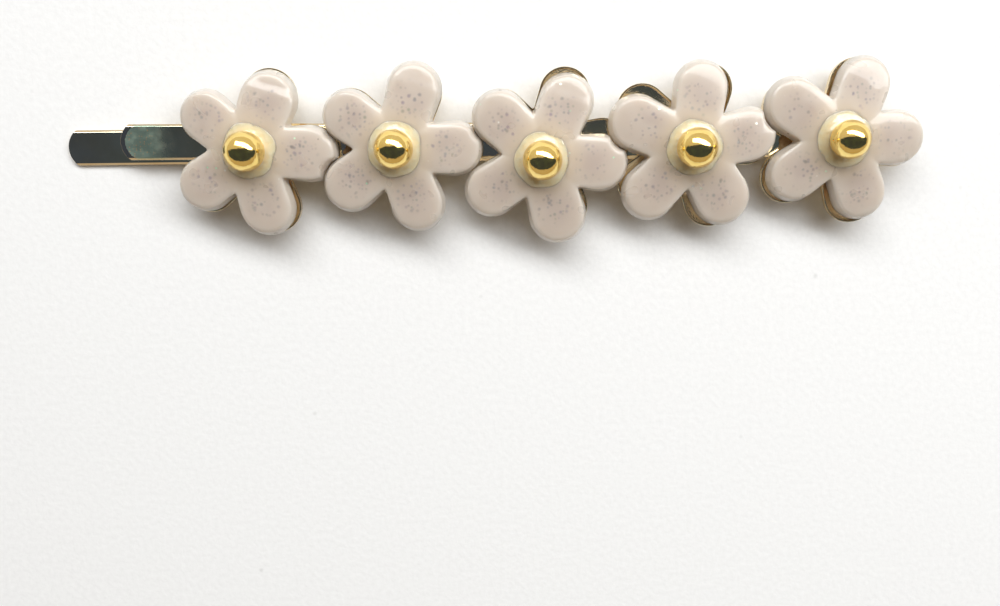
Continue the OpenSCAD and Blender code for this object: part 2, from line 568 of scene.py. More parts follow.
def fit_out(piece: bpy.types.Object, body: str, slot: Slot, *nodes: str) -> None:
    """Fasten a finished piece to its body and let it stand for its CAD nodes."""
    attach(piece, body)
    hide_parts(*nodes)
    log.info("made %s on %s for %s", piece.name, body, ", ".join(nodes))


# ---------------------------------------------------------------------------------------------
# Flowers
# ---------------------------------------------------------------------------------------------


# A petal's tip is where a CAD outline comes this near its greatest reach, in millimetres.
TIP_BAND = 0.02

# The steps of the search for an outline's centre: the first, the last and how many.
CENTRE_STEPS = (0.2, 0.0005, 400)

# The search for an outline's distance from its centre: from, to and how many tries.
RADIUS_TRIES = (1.5, 10.5, 601)

# How many directions trace half a petal before its outline is divided evenly.
TRACE_STEPS = 500

# The share of a half petal's outline that is its neck's side, before the round end.
SIDE_SHARE = 0.42


@dataclass(frozen=True)
class Setting:
    """Where one flower piece stands: its centre, the height of its foot and its turn."""

    x: float
    y: float
    z: float
    turn: float

    @staticmethod
    def of_node(node: str) -> "Setting":
        """Read a five-petalled CAD node's place and turn from its own vertices.

        Args:
            node: The CAD node's name.

        Returns:
            Its setting, in millimetres and radians.
        """
        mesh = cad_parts[node].data
        places = np.array([v.co for v in mesh.vertices], float) / MM
        x, y = Setting.centre(places[:, :2])
        reach = np.hypot(places[:, 0] - x, places[:, 1] - y)
        angle = np.arctan2(places[:, 1] - y, places[:, 0] - x)
        tips = reach > reach.max() - TIP_BAND
        fold = np.exp(1j * PETALS * angle[tips]).mean()
        foot = float(places[:, 2].min())
        return Setting(float(x), float(y), foot, float(np.angle(fold)) / PETALS)

    @staticmethod
    def centre(plan: np.ndarray) -> np.ndarray:
        """Return the centre of the smallest circle round a five-petalled outline."""
        centre = (plan.min(0) + plan.max(0)) / 2
        for step in np.geomspace(*CENTRE_STEPS):
            away = plan[np.argmax(((plan - centre) ** 2).sum(1))] - centre
            centre = centre + step * away / np.hypot(*away)
        return centre

    def turning(self) -> np.ndarray:
        """Return the matrix that turns row vectors about the flower's own axis."""
        c, s = math.cos(self.turn), math.sin(self.turn)
        return np.array([[c, s, 0.0], [-s, c, 0.0], [0.0, 0.0, 1.0]])

    def carry(self, points: np.ndarray) -> np.ndarray:
        """Turn points about the flower's own axis and move them to its place."""
        return points @ self.turning() + np.array([self.x, self.y, self.z])

    def bring(self, points: np.ndarray) -> np.ndarray:
        """Move row points into the flower's own place, the opposite of carry."""
        return (points - np.array([self.x, self.y, self.z])) @ self.turning().T


@dataclass
class FlowerPlan:
    """A five-petalled outline with tapered, round-ended petals, softened where they meet.

    Where the outline would run into the next flower of the row, it is cut back and leaves a gap.
    """

    setting: Setting
    petals: Sequence[tuple[float, float, float]]
    neck_r: float
    soften: float = 0.3
    steps: int = 30
    nearest: "FlowerPlan | None" = None
    gap: float = 0.05

    def distance(self, x: np.ndarray, y: np.ndarray) -> np.ndarray:
        """Return the signed distance to the whole outline, negative inside.

        Args:
            x: Places along the first petal.
            y: Places across it.

        Returns:
            Distances in millimetres.
        """
        total = None
        for index, (reach, tip_r, lean) in enumerate(self.petals):
            c, s = math.cos(index * SECTOR + lean), math.sin(index * SECTOR + lean)
            along, across = x * c + y * s, np.abs(y * c - x * s)
            slope = (self.neck_r - tip_r) / reach
            rise = math.sqrt(1 - slope * slope)
            key = -slope * across + rise * along
            side = rise * across + slope * along - self.neck_r
            near = np.hypot(across, along) - self.neck_r
            far = np.hypot(across, along - reach) - tip_r
            petal = np.where(key < 0, near, np.where(key > rise * reach, far, side))
            if total is None:
                total = petal
                continue
            mix = np.clip(0.5 + 0.5 * (petal - total) / self.soften, 0, 1)
            total = petal * (1 - mix) + total * mix - self.soften * mix * (1 - mix)
        return total

    def trimmed(self, x: np.ndarray, y: np.ndarray) -> np.ndarray:
        """Return the signed distance to the outline, cut back from the next flower."""
        own = self.distance(x, y)
        if self.nearest is None:
            return own
        row = self.setting.carry(np.stack([x, y, np.zeros_like(x)], -1))
        there = self.nearest.setting.bring(row)
        return np.maximum(own, self.gap - self.nearest.distance(there[..., 0], there[..., 1]))

    def radius(self, angle: np.ndarray) -> np.ndarray:
        """Return the outline's distance from the flower's centre in each direction."""
        tries = np.linspace(*RADIUS_TRIES)[:, None]
        away = self.trimmed(tries * np.cos(angle), tries * np.sin(angle))
        first = np.argmax(away > 0, 0)
        column = np.arange(len(angle))
        low, high = away[first - 1, column], away[first, column]
        step = tries[1, 0] - tries[0, 0]
        return tries[first, 0] - step * high / (high - low)

    def half_petals(self) -> list[tuple[np.ndarray, np.ndarray]]:
        """Return, for each half petal, its spine points and the outline points that they face.

        Returns:
            Ten pairs of arrays, each of steps + 1 points in the plan, from notch to tip.
        """
        share = np.linspace(0.0, 1.0, self.steps + 1)
        spine_share = np.clip(share / SIDE_SHARE, 0, 1) ** 0.9
        halves = []
        axes = [index * SECTOR + lean for index, (_, _, lean) in enumerate(self.petals)]
        for index, (reach, _, _) in enumerate(self.petals):
            axis = axes[index]
            before = axes[index - 1] - (2 * math.pi if index == 0 else 0)
            after = axes[(index + 1) % PETALS] + (2 * math.pi if index == PETALS - 1 else 0)
            for notch in ((axis + before) / 2, (axis + after) / 2):
                angle = np.linspace(notch, axis, TRACE_STEPS)
                r = self.radius(angle)
                edge = np.stack([r * np.cos(angle), r * np.sin(angle)], -1)
                run = np.concatenate([[0.0], np.hypot(*np.diff(edge, axis=0).T).cumsum()])
                at = share * run[-1]
                outline = np.stack([np.interp(at, run, edge[:, k]) for k in (0, 1)], -1)
                spine = np.outer(spine_share * reach, [math.cos(axis), math.sin(axis)])
                halves.append((spine, outline))
        return halves


@dataclass(frozen=True)
class Station:
    """One step of a section from a petal's spine to its edge.

    Attributes:
        out: The share of the way from spine to edge.
        inset: How far short of that place it stays.
        z: Its height.
    """

    out: float
    inset: float
    z: float


def sweep_flower(plan: FlowerPlan, stations: Sequence[Station],
                 shape: Callable[[np.ndarray, np.ndarray], np.ndarray] | None = None) -> Drawing:
    """Sweep a section round a flower's outline.

    Args:
        plan: The outline.
        stations: The section, from the spine out over the edge and back under.
        shape: Takes the points and the stations' numbers and returns the points reshaped.

    Returns:
        The closed drawing, where the outline's flower is set.
    """
    drawing = Drawing()
    for spine, outline in plan.half_petals():
        away = outline - spine
        length = np.hypot(away[:, 0], away[:, 1])[:, None]
        unit = away / length
        rings = []
        for s in stations:
            flat = spine + unit * np.maximum(s.out * length - s.inset, 0.0)
            rings.append(np.column_stack([flat, np.full(len(flat), s.z)]))
        grid = np.stack(rings, 1)
        drawing.grid(shape(grid, np.arange(len(stations))) if shape else grid)
    drawing.verts = [plan.setting.carry(v) for v in drawing.verts]
    return drawing


PetalTable = dict[int, tuple[tuple[float, float, float], ...]]

# How petals differ from the regular one, from the right-hand petal round: reach, end radius and
# lean in degrees.
RESIN_PETALS: PetalTable = {
    1: ((0.0, 0.05, 0.0), (-0.3, 0.1, 0.0), (-0.15, -0.05, 0.0), (0.0, 0.0, 0.0), (0.0, 0.1, -2.5)),
    2: ((0.1, 0.0, 0.0), (0.3, 0.05, 0.0), (-0.05, -0.08, 0.8), (0.1, 0.1, 0.0), (0.1, 0.03, 1.5)),
    3: ((0.1, 0.12, -1.0), (0.3, 0.0, -1.5), (0.1, 0.05, -3.5), (0.2, 0.0, 0.0), (0.1, 0.2, 2.0)),
    4: ((0.1, 0.0, 1.6), (0.1, 0.0, 0.0), (0.25, 0.1, 1.5), (0.25, 0.1, 1.0), (0.0, 0.2, 4.5)),
    5: ((-0.15, 0.0, 0.0), (0.1, -0.05, -4.0), (0.1, 0.1, -1.5), (-0.2, 0.0, 0.0),
        (0.0, -0.1, 3.0)),
}
CUP_PETALS: PetalTable = {
    3: ((0.0, 0.1, 5.0), (0.2, -0.1, -1.5), (-0.3, -0.05, -3.5), (-0.1, 0.0, 0.0), (0.0, 0.0, 0.0)),
    4: ((-0.2, -0.1, 4.0), (0.0, -0.1, 0.0), (0.3, -0.1, -4.0), (0.0, 0.0, 0.0), (0.0, 0.0, 1.0)),
}
REGULAR = ((0.0, 0.0, 0.0),) * PETALS

# A cast petal's side, from under its shoulder to its foot, and its flat underside.
RESIN_SIDE = (Station(1.0, 0.16, 0.6), Station(1.0, 0.06, 0.28), Station(1.0, 0.01, 0.12),
              Station(1.0, 0.0, 0.06), Station(1.0, 0.05, 0.0), Station(0.6, 0.0, 0.0),
              Station(0.0, 0.0, 0.0))

# How far each cup sits from its regular place: along X, along Y and turned in degrees.
CUP_NUDGES = ((0.12, -0.15, 0.0), (0.12, 0.0, 0.0), (0.05, 0.05, 0.0), (-0.05, 0.1, 2.0),
              (-0.15, 0.2, 1.0))

# Where a fine crease crosses each top petal, from its flower's centre, and how steep its step is.
DROOPS = ((6.3, 0.22), (6.6, 0.06), (6.4, 0.06), (7.2, 0.04), (7.4, 0.03))


@dataclass
class ResinFlower:
    """One cast resin flower with pillowed petals and a hub for its bead."""

    number: int
    reach: float = 5.92
    tip_r: float = 2.85
    neck_r: float = 2.32
    crown_h: float = 1.6
    shoulder_h: float = 1.42
    shoulder_inset: float = 0.5
    shoulder_r: float = 0.2
    shoulder_fall: float = 0.06
    hub_h: float = 2.0
    hub_r: float = 2.6
    fall: float = 0.115
    waves_mm: float = 0.03
    vary: float = 0.04
    crease_w: float = 0.7
    crease_half: float = 4.0
    crease_soft: float = 0.15
    core_out: float = 0.86
    core_r: float = 1.9
    # How wide the painted light at the thin edges is.
    edge_glow_w: float = 1.3
    # How far the painted warm glow round the hub reaches.
    gold_glow_r: float = 3.6
    top_rings: int = 14
    shoulder_rings: int = 5

    def node(self) -> str:
        """Return the CAD node's name."""
        return f"resin_flower_{self.number}"

    def plan(self) -> FlowerPlan:
        """Return the flower's outline, with each petal a little different."""
        draw = np.random.default_rng(self.number).uniform(-1.0, 1.0, (PETALS, 2))
        changes = RESIN_PETALS.get(self.number, REGULAR)
        petals = [(self.reach + self.vary * d[0] + c[0], self.tip_r + self.vary * d[1] + c[1],
                   math.radians(c[2])) for d, c in zip(draw, changes)]
        return FlowerPlan(Setting.of_node(self.node()), petals, self.neck_r)

    def stations(self) -> list[Station]:
        """Return the section: a low dome, a rounded shoulder, a sloping wall and a flat foot."""
        top = []
        for share in np.linspace(0.0, 1.0, self.top_rings):
            drop = (self.crown_h - self.shoulder_h) * share ** 2.2
            top.append(Station(share, self.shoulder_inset * share ** 6, self.crown_h - drop))
        shoulder = []
        for share in np.linspace(0.0, 1.0, self.shoulder_rings + 1)[1:]:
            out = math.sin(share * math.pi / 2)
            down = 1 - math.cos(share * math.pi / 2)
            height = self.shoulder_h - self.shoulder_r * down - self.shoulder_fall * share
            shoulder.append(Station(1.0, self.shoulder_inset - self.shoulder_r * out, height))
        return [*top, *shoulder, *RESIN_SIDE]

    def shape(self, grid: np.ndarray, stations: np.ndarray) -> np.ndarray:
        """Slope the petals down from the hub and add the slight waves of a casting."""
        made = grid.copy()
        out = np.hypot(grid[..., 0], grid[..., 1])
        top = grid[..., 2]
        is_top = np.broadcast_to(stations < self.top_rings + self.shoulder_rings, top.shape)
        slope = self.fall * np.clip(out - self.hub_r, 0.0, None)
        raised = top + self.hub_h - self.crown_h - slope - self.crease(grid)
        waves = ripple(grid, 2.2, self.waves_mm, 7.3 * self.number) * np.clip(top - 0.6, 0, 1)
        made[..., 2] = np.where(is_top, np.minimum(raised, self.hub_h) + waves, top)
        return made

    def crease(self, grid: np.ndarray) -> np.ndarray:
        """Return how far each point drops past the fine crease across the top petal."""
        start, slope = DROOPS[self.number - 1]
        c, s = math.cos(SECTOR), math.sin(SECTOR)
        along = grid[..., 0] * c + grid[..., 1] * s
        across = np.abs(grid[..., 1] * c - grid[..., 0] * s)
        past = np.clip(along - start - ripple(grid, 0.9, 0.25, 2.9), 0.0, self.crease_w)
        past = past * (across < self.crease_half)
        return slope * past * past / (past + self.crease_soft)

    def build(self, finish: bpy.types.Material) -> bpy.types.Object:
        """Make the flower where its CAD node is.

        Args:
            finish: The resin.

        Returns:
            The piece.
        """
        plan = self.plan()
        if self.number < FLOWERS:
            plan.nearest = ResinFlower(self.number + 1).plan()
        drawing = sweep_flower(plan, self.stations(), self.shape)
        piece = drawing.piece(f"cast_flower_{self.number}", finish)
        write_share(piece, "petal_core", lambda p: self.core_share(p, plan))
        write_share(piece, "petal_edge_glow", lambda p: self.edge_glow_share(p, plan))
        write_share(piece, "hub_glow", lambda p: self.hub_share(p, plan))
        fit_out(piece, ROW, Slot.RESIN, self.node())
        return piece

    def edge_glow_share(self, places: np.ndarray, plan: FlowerPlan) -> np.ndarray:
        """Return how near each place is to the outline, from 0 to 1, for the painted light that
        shines through the thin edges.
        """
        own = plan.setting.bring(places)
        return np.clip(1.0 + plan.distance(own[:, 0], own[:, 1]) / self.edge_glow_w, 0.0, 1.0) ** 1.5

    def hub_share(self, places: np.ndarray, plan: FlowerPlan) -> np.ndarray:
        """Return how near each place is to the flower's centre, from 0 to 1, for the painted warm
        glow round the hub.
        """
        away = np.hypot(places[:, 0] - plan.setting.x, places[:, 1] - plan.setting.y)
        return np.exp(-((away / self.gold_glow_r) ** 4))

    def core_share(self, places: np.ndarray, plan: FlowerPlan) -> np.ndarray:
        """Return how near each place is to the heart of a petal, from 0 to 1."""
        best = np.zeros(len(places))
        for i in range(PETALS):
            angle = plan.setting.turn + i * SECTOR
            x = plan.setting.x + self.core_out * self.reach * math.cos(angle)
            y = plan.setting.y + self.core_out * self.reach * math.sin(angle)
            away = np.hypot(places[:, 0] - x, places[:, 1] - y)
            best = np.maximum(best, np.exp(-((away / self.core_r) ** 2)))
        return best


@dataclass
class FlowerCup:
    """One stamped cup: a five-petalled tray with a thin standing rim."""

    number: int
    reach: float = 6.0
    tip_r: float = 2.68
    neck_r: float = 2.2
    floor_t: float = 0.3
    rim_h: float = 0.6
    rim_t: float = 0.16
    rim_edge: float = 0.03
    floor_band: float = 0.25

    def node(self) -> str:
        """Return the CAD node's name."""
        return f"flower_cup_{self.number}"

    def plan(self) -> FlowerPlan:
        """Return the cup's outline where its flower was set down."""
        own = Setting.of_node(self.node())
        x, y, turn = CUP_NUDGES[self.number - 1]
        setting = Setting(own.x + x, own.y + y, own.z, own.turn + math.radians(turn))
        petals = [(self.reach + c[0], self.tip_r + c[1], math.radians(c[2]))
                  for c in CUP_PETALS.get(self.number, REGULAR)]
        return FlowerPlan(setting, petals, self.neck_r)

    def stations(self) -> list[Station]:
        """Return the section: floor, inner wall, rounded rim, outer wall and underside."""
        floor, rim, edge = self.floor_t, self.rim_t, self.rim_edge
        top = floor + self.rim_h
        inside = [Station(0.0, 0.0, floor), Station(0.5, 0.0, floor),
                  Station(1.0, rim + 0.12, floor), Station(1.0, rim + 0.04, floor + 0.03),
                  Station(1.0, rim, floor + 0.1)]
        over = [Station(1.0, rim, top - edge), Station(1.0, rim - edge, top),
                Station(1.0, edge, top), Station(1.0, 0.0, top - edge)]
        outside = [Station(1.0, 0.0, 0.28), Station(1.0, 0.05, 0.1), Station(1.0, 0.18, 0.0)]
        under = [Station(0.55, 0.0, 0.0), Station(0.0, 0.0, 0.0)]
        return inside + over + outside + under

    def build(self, finish: bpy.types.Material) -> bpy.types.Object:
        """Make the cup where its CAD node is.

        Args:
            finish: The cup's gold.

        Returns:
            The piece.
        """
        plan = self.plan()
        if self.number < FLOWERS:
            plan.nearest = FlowerCup(self.number + 1).plan()
        drawing = sweep_flower(plan, self.stations())
        piece = drawing.piece(f"stamped_cup_{self.number}", finish, smooth_deg=35)
        floor_z = plan.setting.z + self.floor_t
        write_share(piece, "floor_share",
                    lambda p: 1.0 - np.abs(p[:, 2] - floor_z) / self.floor_band)
        fit_out(piece, ROW, Slot.CUP, self.node())
        return piece


@dataclass
class GlueBed:
    """The adhesive in one cup: a lumpy flower-shaped bed under the resin."""

    number: int
    reach: float = 4.0
    tip_r: float = 1.5
    neck_r: float = 1.5
    vary: float = 0.2
    first_seed: int = 80

    def build(self, finish: bpy.types.Material) -> bpy.types.Object:
        """Make the bed where its CAD node is.

        Args:
            finish: The adhesive.

        Returns:
            The piece.
        """
        node = f"glue_bed_{self.number}"
        cup = FlowerCup(self.number).plan().setting
        setting = Setting(cup.x, cup.y, Setting.of_node(node).z, cup.turn)
        low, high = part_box(node)
        height = (high.z - low.z) / MM
        chance = np.random.default_rng(self.first_seed + self.number)
        draw = chance.uniform(-self.vary, self.vary, (PETALS, 2))
        petals = [(self.reach + d[0], self.tip_r + d[1], 0.0) for d in draw]
        plan = FlowerPlan(setting, petals, self.neck_r, soften=0.8, steps=20)
        section = [Station(0.0, 0.0, height), Station(0.6, 0.0, height),
                   Station(1.0, 0.35, height), Station(1.0, 0.1, height * 0.7),
                   Station(1.0, 0.0, height * 0.35), Station(1.0, -0.05, 0.0),
                   Station(0.0, 0.0, 0.0)]
        drawing = sweep_flower(plan, section)
        piece = drawing.piece(f"adhesive_bed_{self.number}", finish)
        fit_out(piece, ROW, Slot.ADHESIVE, node)
        return piece


# ---------------------------------------------------------------------------------------------
# Turned pieces
# ---------------------------------------------------------------------------------------------


def turned(profile: Sequence[tuple[float, float]], centre: Sequence[float], name: str,
           finish: bpy.types.Material,
           lumps: Callable[[np.ndarray], np.ndarray] | None = None,
           sides: int = 72) -> bpy.types.Object:
    """Turn a profile round an upright axis.

    Args:
        profile: Radius and height pairs, in millimetres, closed by the axis or by itself.
        centre: The axis's place and the profile's zero height.
        name: The piece's name.
        finish: Its material.
        lumps: Takes the points about the axis and returns them reshaped.
        sides: How many columns go round.

    Returns:
        The piece.
    """
    angle = np.linspace(0.0, 2 * math.pi, sides, endpoint=False)
    rings = [np.column_stack([r * np.cos(angle), r * np.sin(angle), np.full(sides, z)])
             for r, z in profile]
    grid = np.stack(rings, 0)
    if lumps:
        grid = lumps(grid)
    drawing = Drawing()
    closed = profile[0][0] > 0 and profile[-1][0] > 0
    drawing.grid(grid + np.array(centre), close_rows=closed, close_columns=True)
    return drawing.piece(name, finish)


def centre_of(node: str) -> Vector:
    """Return the middle of a CAD node's box, in millimetres."""
    low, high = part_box(node)
    return (low + high) / 2 / MM


# How much each bead's own diameter differs from the regular one.
BEAD_SCALES = (1.02, 0.99, 1.0, 1.02, 0.975)

# How far each bead and its ring of glue sit off their flower's centre, along X and Y.
BEAD_SHIFTS = ((0.04, 0.06), (0.0, 0.0), (-0.06, -0.16), (0.0, 0.0), (0.0, 0.03))


@dataclass
class Bead:
    """One gold bead, very slightly out of round."""

    number: int
    shrink: float = 0.006
    waves_mm: float = 0.012
    rings: int = 40

    def build(self, finish: bpy.types.Material) -> bpy.types.Object:
        """Make the bead where its CAD node is.

        Args:
            finish: The bead's gold.

        Returns:
            The piece.
        """
        node = f"bead_{self.number}"
        low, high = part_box(node)
        radius = (high.z - low.z) / 2 / MM * BEAD_SCALES[self.number - 1]
        turns = np.linspace(-math.pi / 2, math.pi / 2, self.rings + 1)
        profile = [(radius * max(math.cos(a), 0.0), radius * math.sin(a)) for a in turns]

        def dent(grid: np.ndarray) -> np.ndarray:
            """Press shallow waves into the round."""
            waves = ripple(grid, 1.6, self.waves_mm, 3.1 * self.number)[..., None]
            return grid * (1 - self.shrink + waves / radius)

        x, y = BEAD_SHIFTS[self.number - 1]
        place = centre_of(node) + Vector((x, y, 0.0))
        piece = turned(profile, place, f"gold_bead_{self.number}", finish, dent)
        fit_out(piece, ROW, Slot.BEAD, node)
        return piece


@dataclass
class GlueRing:
    """The uneven ring of glue that wells up round one bead."""

    number: int
    outer_r: float = 2.8
    inner_r: float = 1.62
    height: float = 0.32
    sunk: float = 0.15
    rings: int = 15

    def build(self, finish: bpy.types.Material) -> bpy.types.Object:
        """Make the ring where its CAD node is.

        Args:
            finish: The glue.

        Returns:
            The piece.
        """
        node = f"bead_glue_{self.number}"
        low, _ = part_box(node)
        centre = centre_of(node)
        over = []
        for share in np.linspace(0.0, 1.0, self.rings):
            radius = self.outer_r + (self.inner_r - self.outer_r) * share
            over.append((radius, self.height * (0.35 * share + 0.65 * share ** 2) - 0.02))
        profile = [*over, (self.inner_r, -self.sunk), (self.outer_r - 0.1, -self.sunk)]

        def swell(grid: np.ndarray) -> np.ndarray:
            """Let the ring run high and wide in one place, low and narrow in another."""
            made = grid.copy()
            flat = grid * np.array([1.0, 1.0, 0.0])
            wave = ripple(flat, 1.5, 0.3, 11.7 * self.number)
            wave = wave + ripple(flat, 0.6, 0.2, 5.0 * self.number)
            made[..., 2] = np.where(grid[..., 2] > 0, grid[..., 2] * (0.95 + wave), grid[..., 2])
            away = np.maximum(np.hypot(grid[..., 0], grid[..., 1]), 0.1)
            rim = np.clip((away - self.inner_r) / (self.outer_r - self.inner_r), 0, 1)
            wide = rim * ripple(flat / away[..., None] * 2.0, 1.3, 0.28, 17.0 * self.number)
            made[..., :2] *= (1 + wide / away)[..., None]
            return made

        x, y = BEAD_SHIFTS[self.number - 1]
        place = (centre.x + x, centre.y + y, low.z / MM)
        piece = turned(profile, place, f"glue_ring_{self.number}", finish, swell)
        fit_out(piece, ROW, Slot.GLUE, node)
        return piece


@dataclass
class SolderPad:
    """A low pool of solder between the strip and one cup."""

    number: int

    def build(self, finish: bpy.types.Material) -> bpy.types.Object:
        """Make the pad where its CAD node is.

        Args:
            finish: The solder.

        Returns:
            The piece.
        """
        node = f"solder_pad_{self.number}"
        low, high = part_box(node)
        radius = (high.x - low.x) / 2 / MM
        height = (high.z - low.z) / MM
        centre = centre_of(node)
        profile = [(0.0, 0.0), (radius, 0.0), (radius * 0.96, height * 0.3),
                   (radius * 0.9, height * 0.75), (radius * 0.93, height), (0.0, height)]
        place = (centre.x, centre.y, low.z / MM)
        piece = turned(profile, place, f"solder_pool_{self.number}", finish, sides=48)
        fit_out(piece, ROW, Slot.SOLDER, node)
        return piece


# The smears of adhesive on the strip: flower, how far to its left, length and breadth.
SMEARS = ((2, 4.9, 2.6, 1.9), (4, 4.9, 2.2, 1.2), (5, 4.8, 2.8, 2.3))


@dataclass
class GlueSmear:
    """A thin smear of adhesive on the strip, in the notch on one flower's left."""

    number: int
    away: float
    length: float
    breadth: float
    thick: float = 0.13
    solder_t: float = 0.15

    def build(self, finish: bpy.types.Material) -> bpy.types.Object:
        """Make the smear on the upper leg.

        Args:
            finish: The adhesive.

        Returns:
            The piece.
        """
        centre = centre_of(f"flower_cup_{self.number}")
        _, solder_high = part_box("solder_pad_1")
        top = solder_high.z / MM - self.solder_t
        profile = [(0.0, 0.0), (1.0, 0.0), (1.0, self.thick * 0.3), (0.9, self.thick * 0.8),
                   (0.7, self.thick), (0.35, self.thick * 0.95), (0.0, self.thick)]

        def spread(grid: np.ndarray) -> np.ndarray:
            """Draw the round out along the strip, with an uneven edge."""
            made = grid * np.array([self.length / 2, self.breadth / 2, 1.0])
            uneven = 1 + ripple(grid * np.array([1.0, 1.0, 0.0]), 0.7, 0.45, 9.0 * self.number)
            made[..., :2] *= uneven[..., None]
            made[..., 2] *= 1 - 0.5 * np.abs(ripple(grid, 0.3, 1.0, 4.0 * self.number))
            return made

        place = (centre.x - self.away, centre.y, top)
        piece = turned(profile, place, f"adhesive_smear_{self.number}", finish, spread, sides=48)
        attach(piece, ROW)
        log.info("made %s on %s", piece.name, ROW)
        return piece


# ---------------------------------------------------------------------------------------------
# The folded strip
# ---------------------------------------------------------------------------------------------


@dataclass
class Strip:
    """The folded spring strip: an upper leg with a turned-up tip, a fold and a lower leg."""

    width: float = 3.7
    thick: float = 0.6
    bevel_w: float = 0.25
    bevel_h: float = 0.18
    end_r: float = 2.35
    turn_r: float = 8.0
    turn_deg: float = 14.0
    skew_deg: float = 0.4
    lip_w: float = 0.5
    worn_run: float = 3.6
    worn_fade: float = 2.6
    fold_x: float = field(init=False)
    gap: float = field(init=False)

    # How far inside the round end each step of the section stays.
    END_INSETS: ClassVar[tuple[float, ...]] = (0.03, 0.02, 0.0, 0.0, 0.0, 0.0, 0.02, 0.03, 0.5)

    def __post_init__(self) -> None:
        """Read the fold's place and the legs' gap from the CAD frame."""
        low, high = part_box("fold")
        self.fold_x = low.x / MM
        self.gap = high.z / MM - 2 * self.thick

    def outline(self, tip_x: float, side_in: float, end_in: float) -> np.ndarray:
        """Return a leg's outline from above, round at its tip and square at the fold.

        Args:
            tip_x: Where the round end starts.
            side_in: How far inside the long edges to stay.
            end_in: How far inside the round end to stay.

        Returns:
            Points in order round the leg.
        """
        half = self.width / 2 - side_in
        radius = self.end_r - end_in
        corner = math.asin(min(half / radius, 1.0))
        centre_x = tip_x + self.end_r
        arc = [(centre_x - radius * math.cos(a), radius * math.sin(a))
               for a in np.linspace(-corner, corner, 33)]
        return np.array([*arc, (self.fold_x, half), (self.fold_x, -half)])

    def section(self) -> list[tuple[float, float]]:
        """Return inset and height pairs up the strip's bevelled edge."""
        w, h, t = self.bevel_w, self.bevel_h, self.thick
        below = [(w, 0.0), (w * 0.9, h * 0.05), (w * 0.06, h * 0.9), (0.0, h * 1.1)]
        above = [(inset, t - z) for inset, z in reversed(below)]
        return [*below, *above, (w * 1.1, t)]

    def leg(self, name: str, tip_x: float, finish: bpy.types.Material) -> bpy.types.Object:
        """Make a straight leg with its underside at z = 0.

        Args:
            name: The piece's name.
            tip_x: Where its round end starts.
            finish: The strip's gold.

        Returns:
            The piece.
        """
        rings = []
        for (side_in, z), end_in in zip(self.section(), self.END_INSETS):
            plan = self.outline(tip_x, side_in, end_in)
            rings.append(np.column_stack([plan, np.full(len(plan), z)]))
        drawing = Drawing()
        drawing.grid(np.stack(rings, 0), close_columns=True)
        drawing.face(rings[0][::-1])
        drawing.face(rings[-1])
        return drawing.piece(name, finish, smooth_deg=15)

    def cut_across(self, piece: bpy.types.Object, places: Sequence[float]) -> None:
        """Cut a leg across at each X place, so that it can bend there."""
        work = bmesh.new()
        work.from_mesh(piece.data)
        for x in places:
            bmesh.ops.bisect_plane(work, geom=[*work.verts, *work.edges, *work.faces],
                                   plane_co=(x * MM, 0, 0), plane_no=(1, 0, 0))
        work.to_mesh(piece.data)
        work.free()

    def build_upper(self, finish: bpy.types.Material) -> bpy.types.Object:
        """Make the upper leg and turn its tip up."""
        low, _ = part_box("upper_leg")
        tip_x = low.x / MM
        base_z = self.thick + self.gap
        piece = self.leg("strip_upper_leg", tip_x, finish)
        start = tip_x + self.turn_r * math.sin(math.radians(self.turn_deg))
        in_turn = np.linspace(tip_x + 0.1, start, 14)
        past_turn = np.linspace(start + 0.5, start + 6.0, 8)
        self.cut_across(piece, [*in_turn, *past_turn])
        worn: list[bool] = []
        runs: list[float] = []
        for vertex in piece.data.vertices:
            x, z = vertex.co.x / MM, vertex.co.z / MM
            from_end = self.end_r - math.hypot(min(x - tip_x - self.end_r, 0.0),
                                               vertex.co.y / MM)
            worn.append(from_end > self.lip_w - 0.01 and z > self.thick - 0.01)
            runs.append(x - tip_x)
            if x < start:
                angle = (start - x) / self.turn_r
                radius = self.turn_r + self.thick - z
                x = start - radius * math.sin(angle)
                z = self.turn_r + self.thick - radius * math.cos(angle)
            vertex.co.x = x * MM
            vertex.co.z = (z + base_z) * MM
        fade = 1.0 - np.clip((np.array(runs) - self.worn_run) / self.worn_fade, 0.0, 1.0)
        write_share(piece, "worn_tip", lambda _: np.array(worn) * fade)
        fit_out(piece, ROW, Slot.STRIP, "upper_leg")
        return piece

    def build_lower(self, finish: bpy.types.Material) -> bpy.types.Object:
        """Make the lower leg at its small sideways angle."""
        low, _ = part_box("lower_leg")
        piece = self.leg("strip_lower_leg", low.x / MM, finish)
        for vertex in piece.data.vertices:
            run = self.fold_x - vertex.co.x / MM
            vertex.co.y -= run * math.tan(math.radians(self.skew_deg)) * MM
        fit_out(piece, LEG, Slot.STRIP, "lower_leg")
        return piece

    def build_fold(self, finish: bpy.types.Material) -> bpy.types.Object:
        """Make the half-round fold."""
        half = self.width / 2
        edge = [(half - inset, z) for inset, z in self.section()[:-1]]
        loop = edge + [(-y, z) for y, z in reversed(edge)]
        rows = []
        mid_z = self.thick + self.gap / 2
        for a in np.linspace(-math.pi / 2, math.pi / 2, 25):
            rows.append([(self.fold_x + (mid_z - z) * math.cos(a), y,
                          mid_z + (mid_z - z) * math.sin(a)) for y, z in loop])
        rows = np.array(rows)
        drawing = Drawing()
        drawing.grid(rows, close_columns=True)
        drawing.face(rows[0])
        drawing.face(rows[-1][::-1])
        piece = drawing.piece("strip_fold", finish, smooth_deg=15)
        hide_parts("fold")
        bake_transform(piece)
        log.info("made %s, blended from %s to %s", piece.name, ROW, LEG)
        return piece


# ---------------------------------------------------------------------------------------------
# Stage
# ---------------------------------------------------------------------------------------------


